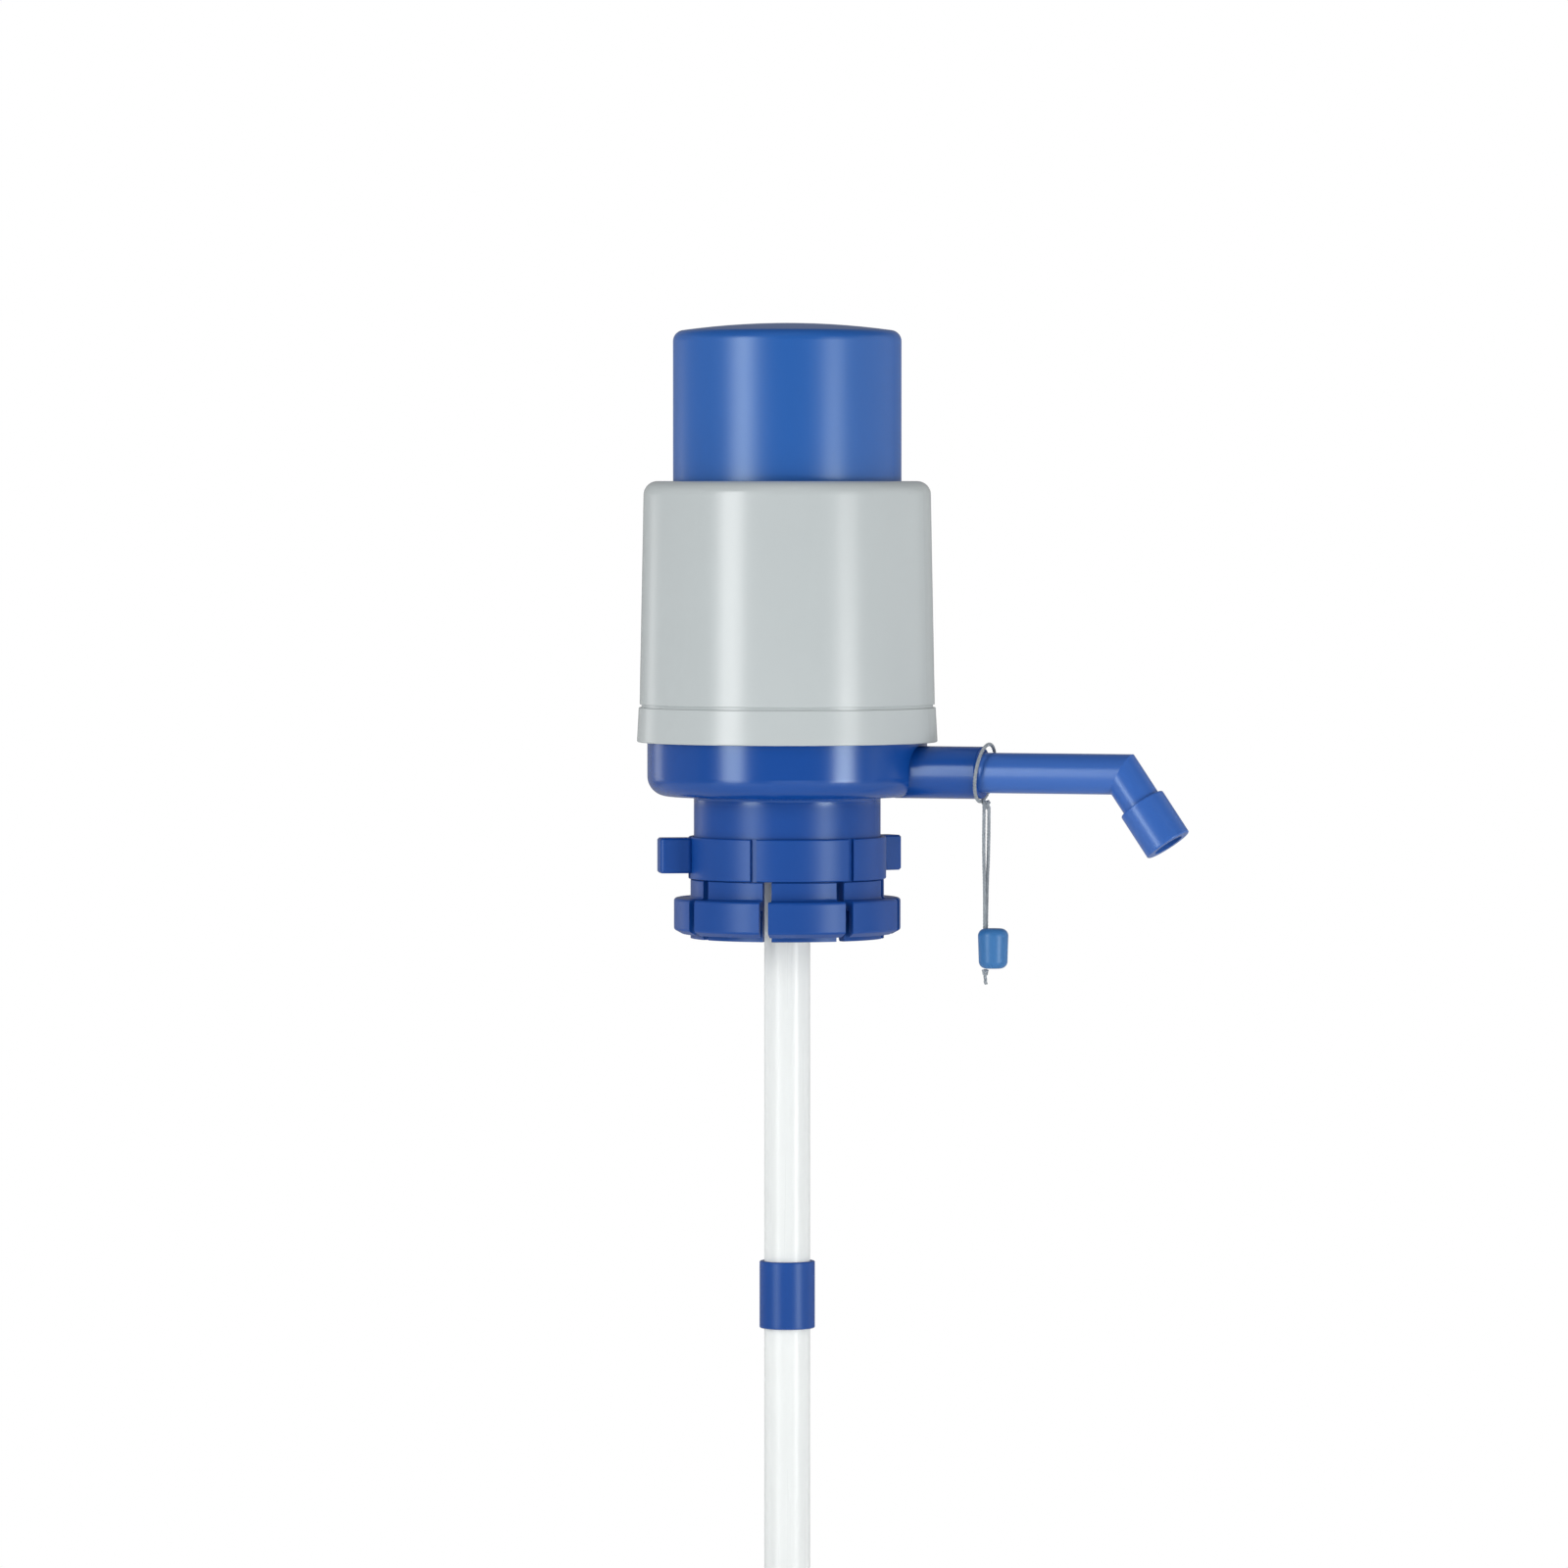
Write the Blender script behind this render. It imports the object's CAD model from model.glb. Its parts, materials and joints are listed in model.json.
import json
from math import atan, cos, pi, radians, sin, tau

import bmesh
import bpy
from mathutils import Matrix, Vector


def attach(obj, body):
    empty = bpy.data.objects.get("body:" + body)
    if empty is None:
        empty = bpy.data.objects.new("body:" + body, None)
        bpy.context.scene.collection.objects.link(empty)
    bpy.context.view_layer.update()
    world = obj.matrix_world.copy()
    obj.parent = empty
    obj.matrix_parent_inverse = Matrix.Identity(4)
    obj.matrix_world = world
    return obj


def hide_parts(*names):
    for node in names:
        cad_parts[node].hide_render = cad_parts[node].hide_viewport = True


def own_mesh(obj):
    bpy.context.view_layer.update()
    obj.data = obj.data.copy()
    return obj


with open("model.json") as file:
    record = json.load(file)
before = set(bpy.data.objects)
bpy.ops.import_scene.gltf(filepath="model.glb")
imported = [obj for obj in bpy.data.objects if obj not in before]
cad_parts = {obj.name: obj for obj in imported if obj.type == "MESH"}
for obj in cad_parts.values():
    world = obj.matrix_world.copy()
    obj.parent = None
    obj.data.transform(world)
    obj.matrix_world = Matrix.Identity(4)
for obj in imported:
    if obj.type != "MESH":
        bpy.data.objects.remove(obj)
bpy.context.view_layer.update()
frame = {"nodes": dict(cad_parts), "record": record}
nodes = frame["nodes"]
scene = bpy.context.scene
scene.view_settings.view_transform = "Standard"
print("frame loaded,", len(nodes), "nodes")

# Camera and light

cameraSetup = {
    "turn": 20,            # degrees from the pump's -Y side towards +X
    "distance": 3.0,       # from the pump's axis, in metres
    "height": 0.105,
    "aimRight": -0.00106,  # to the right of the axis, as the camera sees it
    "aimZ": 0.00704,
    "frameWidth": 0.512,   # what the frame takes in at the pump's axis
}


def makeCamera(setup):
    turned = Matrix.Rotation(radians(setup["turn"]), 3, "Z")
    place = turned @ Vector((setup["aimRight"], -setup["distance"], setup["height"]))
    aim = turned @ Vector((setup["aimRight"], 0, setup["aimZ"]))
    data = bpy.data.cameras.new("camera")
    data.sensor_fit = "HORIZONTAL"
    data.angle = 2 * atan(setup["frameWidth"] / 2 / (aim - place).length)
    data.clip_end = 50
    camera = bpy.data.objects.new("camera", data)
    camera.location = place
    camera.rotation_euler = (aim - place).to_track_quat("-Z", "Y").to_euler()
    scene.collection.objects.link(camera)
    scene.camera = camera


softboxAim = (0, 0, 0.03)      # the point that every softbox faces

# A softbox stands "turn" degrees round the pump's axis, from the camera's side towards +X
softboxes = {
    "leftBox": {"turn": -45, "away": 1.5, "height": 0.20, "wide": 0.50, "tall": 1.2, "power": 12.5},
    "rightLow": {"turn": 47, "away": 1.5, "height": -0.18, "wide": 0.42, "tall": 0.36, "power": 6.9},
    "rightHigh": {"turn": 48, "away": 1.5, "height": 0.42, "wide": 0.42, "tall": 0.75, "power": 2.2},
    "leftPanel": {"turn": -105, "away": 1.2, "height": 0.10, "wide": 1.4, "tall": 1.4, "power": 1.6},
    "rightPanel": {"turn": 100, "away": 1.2, "height": 0.10, "wide": 1.4, "tall": 1.4, "power": 3.6},
    "leftRim": {"turn": -132, "away": 1.5, "height": -0.04, "wide": 0.36, "tall": 0.34, "power": 0.5},
    "lowPanel": {"turn": 5, "away": 1.4, "height": -0.33, "wide": 1.0, "tall": 0.22, "power": 0.8},
    "topBox": {"turn": -10, "away": 0.9, "height": 1.6, "wide": 1.4, "tall": 1.0, "power": 1},
}


def makeSoftbox(name, setup):
    turn = radians(cameraSetup["turn"] + setup["turn"])
    data = bpy.data.lights.new(name, "AREA")
    data.shape = "RECTANGLE"
    data.size = setup["wide"]
    data.size_y = setup["tall"]
    data.energy = setup["power"]
    box = bpy.data.objects.new(name, data)
    box.location = (setup["away"] * sin(turn), -setup["away"] * cos(turn), setup["height"])
    box.rotation_euler = (Vector(softboxAim) - box.location).to_track_quat("-Z", "Y").to_euler()
    scene.collection.objects.link(box)


roomLight = {
    "ambient": 0.47,        # what lights the surfaces from the sides
    "overhead": 0.36,       # what lights them from straight above
    "backdrop": 1.0,        # what the camera and clear parts see
    "behind": 0.35,         # what a reflection finds behind the pump
    "room": 0.13,           # what a reflection finds elsewhere
    "edge": (0.70, 0.82),   # the backdrop's soft edge, as cosines from its middle
    "rise": (0.15, 0.9),    # from ambient to overhead, as sines above the horizon
}


def makeWorld(light):
    world = bpy.data.worlds.new("studio")
    scene.world = world
    world.use_nodes = True
    tree = world.node_tree
    background = tree.nodes["Background"]
    background.inputs["Color"].default_value = (1, 1, 1, 1)
    path = tree.nodes.new("ShaderNodeLightPath")
    clear = tree.nodes.new("ShaderNodeMath")
    clear.operation = "MAXIMUM"
    tree.links.new(path.outputs["Is Camera Ray"], clear.inputs[0])
    tree.links.new(path.outputs["Is Transmission Ray"], clear.inputs[1])
    place = tree.nodes.new("ShaderNodeTexCoord")
    facing = tree.nodes.new("ShaderNodeVectorMath")
    facing.operation = "DOT_PRODUCT"
    turn = radians(cameraSetup["turn"])
    facing.inputs[1].default_value = (-sin(turn), cos(turn), 0)
    tree.links.new(place.outputs["Generated"], facing.inputs[0])
    mirrored = spread(tree, facing.outputs["Value"], light["room"], light["behind"], *light["edge"])
    rise = tree.nodes.new("ShaderNodeSeparateXYZ")
    tree.links.new(place.outputs["Generated"], rise.inputs["Vector"])
    lighting = spread(tree, rise.outputs["Z"], light["ambient"], light["overhead"], *light["rise"])
    surface = choose(tree, path.outputs["Is Glossy Ray"], lighting, mirrored)
    level = choose(tree, clear.outputs["Value"], surface, light["backdrop"])
    tree.links.new(level, background.inputs["Strength"])


floorSetup = {
    "height": -0.4604,      # just under the suction tube's end
    "radius": 1.5,
    "sides": 96,
    "colour": (0.92, 0.93, 0.93),
    "darkest": (0.90, 0.91, 0.91),
    "lightest": (0.93, 0.94, 0.94),
    "roughness": 0.8,
    "grainScale": 60,
}


def makeFloor(setup):
    shape = bmesh.new()
    bmesh.ops.create_circle(shape, cap_ends=True, segments=setup["sides"], radius=setup["radius"],
                            matrix=Matrix.Translation((0, 0, setup["height"])))
    floor = addPiece("studioFloor", shape)
    material, tree, shader = newMaterial("floorPaper", setup["colour"], setup["roughness"])
    grain = noise(tree, setup["grainScale"], 3)
    shade = ramp(tree, grain, setup["darkest"], setup["lightest"])
    tree.links.new(shade, shader.inputs["Base Color"])
    floor.data.materials.append(material)


# Small helpers for meshes and materials

def addPiece(name, shape):
    mesh = bpy.data.meshes.new(name)
    shape.to_mesh(mesh)
    shape.free()
    for face in mesh.polygons:
        face.use_smooth = True
    piece = bpy.data.objects.new(name, mesh)
    scene.collection.objects.link(piece)
    return piece


def newMaterial(name, colour, roughness, specular=0.5):
    material = bpy.data.materials.new(name)
    material.use_nodes = True
    tree = material.node_tree
    shader = tree.nodes["Principled BSDF"]
    shader.inputs["Base Color"].default_value = (*colour, 1)
    shader.inputs["Roughness"].default_value = roughness
    shader.inputs["Specular IOR Level"].default_value = specular
    return material, tree, shader


def noise(tree, scale, detail, stretch=(1, 1, 1)):
    place = tree.nodes.new("ShaderNodeTexCoord")
    mapping = tree.nodes.new("ShaderNodeMapping")
    mapping.inputs["Scale"].default_value = stretch
    texture = tree.nodes.new("ShaderNodeTexNoise")
    texture.inputs["Scale"].default_value = scale
    texture.inputs["Detail"].default_value = detail
    tree.links.new(place.outputs["Object"], mapping.inputs["Vector"])
    tree.links.new(mapping.outputs["Vector"], texture.inputs["Vector"])
    return texture.outputs["Fac"]


def heightOf(tree):
    place = tree.nodes.new("ShaderNodeTexCoord")
    split = tree.nodes.new("ShaderNodeSeparateXYZ")
    tree.links.new(place.outputs["Object"], split.inputs["Vector"])
    return split.outputs["Z"]


def ramp(tree, value, low, high, start=0.35, end=0.65):
    colours = tree.nodes.new("ShaderNodeValToRGB")
    colours.color_ramp.elements[0].position = start
    colours.color_ramp.elements[0].color = (*low, 1)
    colours.color_ramp.elements[1].position = end
    colours.color_ramp.elements[1].color = (*high, 1)
    tree.links.new(value, colours.inputs["Fac"])
    return colours.outputs["Color"]


def spread(tree, value, low, high, start=0.3, end=0.7):
    levels = tree.nodes.new("ShaderNodeMapRange")
    levels.inputs["From Min"].default_value = start
    levels.inputs["From Max"].default_value = end
    levels.inputs["To Min"].default_value = low
    levels.inputs["To Max"].default_value = high
    tree.links.new(value, levels.inputs["Value"])
    return levels.outputs["Result"]


def choose(tree, switch, off, on):
    mix = tree.nodes.new("ShaderNodeMix")
    tree.links.new(switch, mix.inputs["Factor"])
    for socket, value in ((mix.inputs["A"], off), (mix.inputs["B"], on)):
        if isinstance(value, float):
            socket.default_value = value
        else:
            tree.links.new(value, socket)
    return mix.outputs["Result"]


def bump(tree, shader, pattern, distance):
    relief = tree.nodes.new("ShaderNodeBump")
    relief.inputs["Distance"].default_value = distance
    relief.inputs["Strength"].default_value = 1.0
    tree.links.new(pattern, relief.inputs["Height"])
    if shader.inputs["Normal"].is_linked:
        tree.links.new(shader.inputs["Normal"].links[0].from_socket, relief.inputs["Normal"])
    tree.links.new(relief.outputs["Normal"], shader.inputs["Normal"])


def shades(colour, spreadShare):
    return [tuple(min(1, c * share) for c in colour) for share in (1 - spreadShare, 1 + spreadShare)]


makeCamera(cameraSetup)
for name, setup in softboxes.items():
    makeSoftbox(name, setup)
makeWorld(roomLight)
makeFloor(floorSetup)
print("camera and light set")

# Finishes

# "tint" colours the mirrored light, "grain" is the depth of the fine texture in metres, and "vary"
# is how far the shade moves either way. Below the height "mattBelow" a finish turns matt.
plastics = {
    "capBlue": {
        "tint": (0.80, 0.94, 1.0), "colour": (0.005, 0.086, 0.358),
        "roughness": 0.36, "specular": 0.80, "grain": 0.000004, "vary": 0.035,
    },
    "housingGrey": {
        "tint": (1.0, 1.0, 1.0), "colour": (0.445, 0.482, 0.489),
        "roughness": 0.25, "specular": 0.55, "grain": 0.000004, "vary": 0.012,
    },
    "baseBlue": {
        "tint": (0.75, 0.90, 1.0), "colour": (0.003, 0.052, 0.266),
        "roughness": 0.23, "specular": 0.60, "grain": 0.000001, "vary": 0.035,
        "mattBelow": 0.002, "mattRoughness": 0.38, "mattSpecular": 0.44,
    },
    "spoutBlue": {
        "tint": (0.75, 0.90, 1.0), "colour": (0.028, 0.106, 0.392),
        "roughness": 0.29, "specular": 0.65, "grain": 0.000001, "vary": 0.035,
    },
    "stopperBlue": {
        "tint": (0.80, 0.94, 1.0), "colour": (0.034, 0.146, 0.365),
        "roughness": 0.38, "specular": 0.45, "grain": 0.000001, "vary": 0.05,
    },
}

moulding = {
    "cloudScale": 14,             # slow changes of shade
    "scuffScale": 120,            # changes of gloss, drawn out along Z
    "scuffStretch": (1, 1, 0.4),
    "scuff": 0.012,               # how far the roughness moves either way
    "grainScale": 900,
    "rippleScale": 55,
    "ripple": 0.00003,            # depth of the slow waves in a moulded face
    "mattEdge": 0.002,            # height over which a finish turns matt
}


def mouldedPlastic(name, finish):
    material, tree, shader = newMaterial(name, finish["colour"], finish["roughness"], finish["specular"])
    shader.inputs["Specular Tint"].default_value = (*finish["tint"], 1)
    cloud = noise(tree, moulding["cloudScale"], 2)
    low, high = shades(finish["colour"], finish["vary"])
    tree.links.new(ramp(tree, cloud, low, high), shader.inputs["Base Color"])
    scuff = noise(tree, moulding["scuffScale"], 2, moulding["scuffStretch"])
    smoothest, roughest = finish["roughness"] - moulding["scuff"], finish["roughness"] + moulding["scuff"]
    rough = spread(tree, scuff, smoothest, roughest, 0.1, 0.9)
    if "mattBelow" in finish:
        edge = finish["mattBelow"]
        above = spread(tree, heightOf(tree), 0, 1, edge - moulding["mattEdge"], edge)
        rough = choose(tree, above, finish["mattRoughness"], rough)
        shine = choose(tree, above, finish["mattSpecular"], finish["specular"])
        tree.links.new(shine, shader.inputs["Specular IOR Level"])
    tree.links.new(rough, shader.inputs["Roughness"])
    bump(tree, shader, noise(tree, moulding["grainScale"], 2), finish["grain"])
    bump(tree, shader, noise(tree, moulding["rippleScale"], 1), moulding["ripple"])
    return material


milkyPlastic = {
    "colour": (0.80, 0.83, 0.82),
    "darkest": (0.76, 0.79, 0.785),
    "lightest": (0.83, 0.86, 0.85),
    "roughness": 0.30,
    "specular": 0.4,
    "milkiness": 0.35,                # share of the light that goes into the wall
    "depth": 0.006,                   # how far that light spreads, in metres
    "cloudScale": 30,
    "cloudStretch": (1, 1, 0.3),
    "lineScale": 700,                 # fine lines along the extruded tube
    "lineStretch": (1, 1, 0.015),
    "lineRoughness": (0.26, 0.36),
    "lineDepth": 0.00003,
}


def milkyTube(name, finish):
    material, tree, shader = newMaterial(name, finish["colour"], finish["roughness"], finish["specular"])
    shader.inputs["Subsurface Weight"].default_value = finish["milkiness"]
    shader.inputs["Subsurface Radius"].default_value = (finish["depth"],) * 3
    shader.inputs["Subsurface Scale"].default_value = 1.0
    cloud = noise(tree, finish["cloudScale"], 2, finish["cloudStretch"])
    tree.links.new(ramp(tree, cloud, finish["darkest"], finish["lightest"]), shader.inputs["Base Color"])
    drawn = noise(tree, finish["lineScale"], 2, finish["lineStretch"])
    tree.links.new(spread(tree, drawn, *finish["lineRoughness"]), shader.inputs["Roughness"])
    bump(tree, shader, drawn, finish["lineDepth"])
    return material


rubbers = {
    "bellowsRubber": {"colour": (0.055, 0.058, 0.062), "roughness": 0.55},
    "sealRubber": {"colour": (0.60, 0.60, 0.575), "roughness": 0.45},
}
rubberSkin = {"specular": 0.35, "vary": 0.10, "cloudScale": 40, "grainScale": 1400, "grain": 0.00002}


def mouldedRubber(name, finish):
    material, tree, shader = newMaterial(name, finish["colour"], finish["roughness"], rubberSkin["specular"])
    low, high = shades(finish["colour"], rubberSkin["vary"])
    cloud = noise(tree, rubberSkin["cloudScale"], 4)
    tree.links.new(ramp(tree, cloud, low, high), shader.inputs["Base Color"])
    bump(tree, shader, noise(tree, rubberSkin["grainScale"], 3), rubberSkin["grain"])
    return material


nylon = {
    "colour": (0.27, 0.30, 0.33),
    "darkest": (0.20, 0.225, 0.25),
    "lightest": (0.34, 0.375, 0.41),
    "roughness": 0.62,
    "specular": 0.3,
    "sheen": 0.25,
    "fibreScale": 2600,
    "fibreStretch": (1, 1, 0.25),
    "fibreDepth": 0.00004,
}


def twistedNylon(name, finish):
    material, tree, shader = newMaterial(name, finish["colour"], finish["roughness"], finish["specular"])
    shader.inputs["Sheen Weight"].default_value = finish["sheen"]
    fibre = noise(tree, finish["fibreScale"], 3, finish["fibreStretch"])
    tree.links.new(ramp(tree, fibre, finish["darkest"], finish["lightest"]), shader.inputs["Base Color"])
    bump(tree, shader, fibre, finish["fibreDepth"])
    return material


finishes = {name: mouldedPlastic(name, finish) for name, finish in plastics.items()}
finishes["tubeWhite"] = milkyTube("tubeWhite", milkyPlastic)
for name, finish in rubbers.items():
    finishes[name] = mouldedRubber(name, finish)
finishes["stringGrey"] = twistedNylon("stringGrey", nylon)

# Finish of each piece that comes from the frame, by its material slot
slotFinish = {
    "cap_blue": "capBlue",
    "housing_grey": "housingGrey",
    "base_blue": "baseBlue",
    "spout_blue": "spoutBlue",
    "tube_white": "tubeWhite",
    "bellows_rubber": "bellowsRubber",
    "seal_rubber": "sealRubber",
    "string_grey": "stringGrey",
    "stopper_blue": "stopperBlue",
}
nodeSlot = {part["node"]: part["material_slot"] for part in frame["record"]["subparts"]}
for name, node in nodes.items():
    for place in node.material_slots:
        place.material = finishes[slotFinish[nodeSlot[name]]]
print("finishes made")

# String: three plies twisted together, round the spout's socket and down to the stopper

string = {
    "radius": 0.0006,
    "plyRadius": 0.00028,
    "twist": 0.0034,         # length of one turn of the plies
    "step": 0.00028,         # between the points of a ply
    "roundness": 3,          # steps in a quarter of a ply's section
}
frontRoute = [(0.0681, -0.00062, 0.0004), (0.0679, -0.0007, -0.0125),
              (0.06835, -0.00066, -0.0263), (0.0683, -0.00062, -0.039)]
backRoute = [(0.0694, 0.0004, 0.0006), (0.06925, 0.00075, -0.013),
             (0.0686, 0.00072, -0.0258), (0.0685, 0.00062, -0.039)]
tailRoute = [(0.0684, 0.0001, -0.0529), (0.06815, -0.0001, -0.0550), (0.06845, 0.0002, -0.0572)]


def splineLine(points, closed=False):
    data = bpy.data.curves.new("route", "CURVE")
    data.dimensions = "3D"
    spline = data.splines.new("NURBS")
    spline.points.add(len(points) - 1)
    for point, place in zip(spline.points, points):
        point.co = (*place, 1)
    spline.order_u = 3
    spline.use_endpoint_u = not closed
    spline.use_cyclic_u = closed
    runs = sum((Vector(b) - Vector(a)).length for a, b in zip(points, points[1:]))
    data.resolution_u = max(8, round(runs / len(points) / string["step"]))
    route = bpy.data.objects.new("route", data)
    line = bpy.data.meshes.new_from_object(route)
    places = [vertex.co.copy() for vertex in line.vertices]
    bpy.data.objects.remove(route)
    bpy.data.meshes.remove(line)
    return places


def twistedString(name, line, closed=False):
    data = bpy.data.curves.new(name, "CURVE")
    data.dimensions = "3D"
    data.bevel_depth = string["plyRadius"]
    data.bevel_resolution = string["roundness"]
    data.use_fill_caps = not closed
    ahead = line[1:] + ([line[0]] if closed else [2 * line[-1] - line[-2]])
    steps = [b - a for a, b in zip(line, ahead)]
    length = sum(step.length for step in steps)
    twists = round(length / string["twist"])      # a closed string needs whole turns
    plies = [[], [], []]
    side = steps[0].orthogonal().normalized()
    went = 0
    for i, (place, step) in enumerate(zip(line, steps)):
        if i:
            side.rotate(steps[i - 1].rotation_difference(step))
        for ply, places in enumerate(plies):
            turn = tau * (went / length * twists + ply / 3)
            arm = side.copy()
            arm.rotate(Matrix.Rotation(turn, 3, step))
            places.append(place + arm * (string["radius"] - string["plyRadius"]))
        went += step.length
    for places in plies:
        spline = data.splines.new("POLY")
        spline.points.add(len(places) - 1)
        for point, place in zip(spline.points, places):
            point.co = (*place, 1)
        spline.use_cyclic_u = closed
    curve = bpy.data.objects.new(name, data)
    mesh = bpy.data.meshes.new_from_object(curve)
    mesh.name = name
    bpy.data.objects.remove(curve)
    piece = bpy.data.objects.new(name, mesh)
    scene.collection.objects.link(piece)
    for face in mesh.polygons:
        face.use_smooth = True
    mesh.materials.clear()
    mesh.materials.append(finishes["stringGrey"])
    return piece


loop = {
    "centre": (0.0681, 0.0, 0.0114),
    "radius": 0.00928,
    "lean": 0.0015,          # how far the top leans along +X
    "points": 16,
}


def makeLoop(setup):
    reach = setup["radius"] / cos(pi / setup["points"])
    turns = [tau * i / setup["points"] for i in range(setup["points"])]
    centre = Vector(setup["centre"])
    points = []
    for turn in turns:
        across, up = -reach * cos(turn), reach * sin(turn)
        along = up / reach * setup["lean"]
        points.append(centre + Vector((along, across, up)))
    return twistedString("stringWrap", splineLine(points, closed=True), closed=True)


stringWrap = makeLoop(loop)
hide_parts("string_loop")
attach(stringWrap, "pump_body")

# Both knots are trefoils. "scale" is in metres, and "depth" and "points" shape their line.
knots = {
    "hangingKnot": {"centre": (0.0685, 0.0, 0.0013), "scale": 0.00042, "depth": 1.4, "points": 12},
    "tailKnot": {"centre": (0.0683, 0.0, -0.0532), "scale": 0.00026, "depth": 1.4, "points": 12},
}


def makeKnot(name, setup):
    turns = [tau * i / setup["points"] for i in range(setup["points"])]
    centre = Vector(setup["centre"])
    points = [
        centre + setup["scale"] * Vector((
            sin(turn) + 2 * sin(2 * turn),
            -setup["depth"] * sin(3 * turn),
            cos(turn) - 2 * cos(2 * turn)))
        for turn in turns
    ]
    return twistedString(name, splineLine(points, closed=True), closed=True)


hangingKnot = makeKnot("hangingKnot", knots["hangingKnot"])
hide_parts("string_knot")
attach(hangingKnot, "pump_body")

tail = bmesh.new()
for piece in (makeKnot("tailKnot", knots["tailKnot"]), twistedString("tailEnd", splineLine(tailRoute))):
    tail.from_mesh(piece.data)
    bpy.data.objects.remove(piece)
stringTail = addPiece("stringTail", tail)
stringTail.data.materials.append(finishes["stringGrey"])
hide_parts("string_tail")
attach(stringTail, "pump_body")

frontLine = splineLine(frontRoute)
backLine = splineLine(backRoute)
frontString = twistedString("frontString", frontLine)
backString = twistedString("backString", backLine)
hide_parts("string_front")
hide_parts("string_back")
for piece, line, others in [
    (frontString, frontLine, [nodes["dust_plug"], stringTail]),
    (backString, backLine, [nodes["dust_plug"], stringWrap, hangingKnot]),
]:
    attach(piece, "pump_body")
print("string made")

# Bellows: a rubber concertina between the base's spigot and the valve plug in the cap

bellows = {
    "footLow": 0.0190,
    "footTop": 0.0293,
    "footRadius": 0.0331,
    "top": 0.1484,
    "folds": 9,
    "crestRadius": 0.0340,
    "rootRadius": 0.0276,
    "holeRadius": 0.0101,
    "wall": 0.0018,
    "rounding": 0.0014,
    "roundingSteps": 4,
    "steps": 96,             # round the axis
    "mergeWithin": 0.00001,
}


def makeBellows(setup):
    fold = (setup["top"] - setup["footTop"]) / setup["folds"]
    outline = [(setup["footRadius"], setup["footLow"]), (setup["footRadius"], setup["footTop"])]
    for i in range(setup["folds"]):
        outline.append((setup["rootRadius"], setup["footTop"] + fold * (i + 0.5)))
        outline.append((setup["crestRadius"], setup["footTop"] + fold * (i + 1)))
    outline.append((setup["holeRadius"], setup["top"]))
    shape = bmesh.new()
    corners = [shape.verts.new((radius, 0, height)) for radius, height in outline]
    for a, b in zip(corners, corners[1:]):
        shape.edges.new((a, b))
    bmesh.ops.bevel(shape, geom=corners[1:-1], offset=setup["rounding"],
                    segments=setup["roundingSteps"], profile=0.5, affect="VERTICES", material=-1)
    bmesh.ops.spin(shape, geom=shape.verts[:] + shape.edges[:], cent=(0, 0, 0), axis=(0, 0, 1),
                   angle=tau, steps=setup["steps"], use_merge=True)
    bmesh.ops.remove_doubles(shape, verts=shape.verts, dist=setup["mergeWithin"])
    bmesh.ops.recalc_face_normals(shape, faces=shape.faces)
    bmesh.ops.solidify(shape, geom=shape.faces[:], thickness=setup["wall"])
    piece = addPiece("rubberBellows", shape)
    piece.data.materials.append(finishes["bellowsRubber"])
    return piece


rubberBellows = makeBellows(bellows)
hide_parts("bellows")
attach(rubberBellows, "pump_body")
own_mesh(rubberBellows)
print("bellows made")
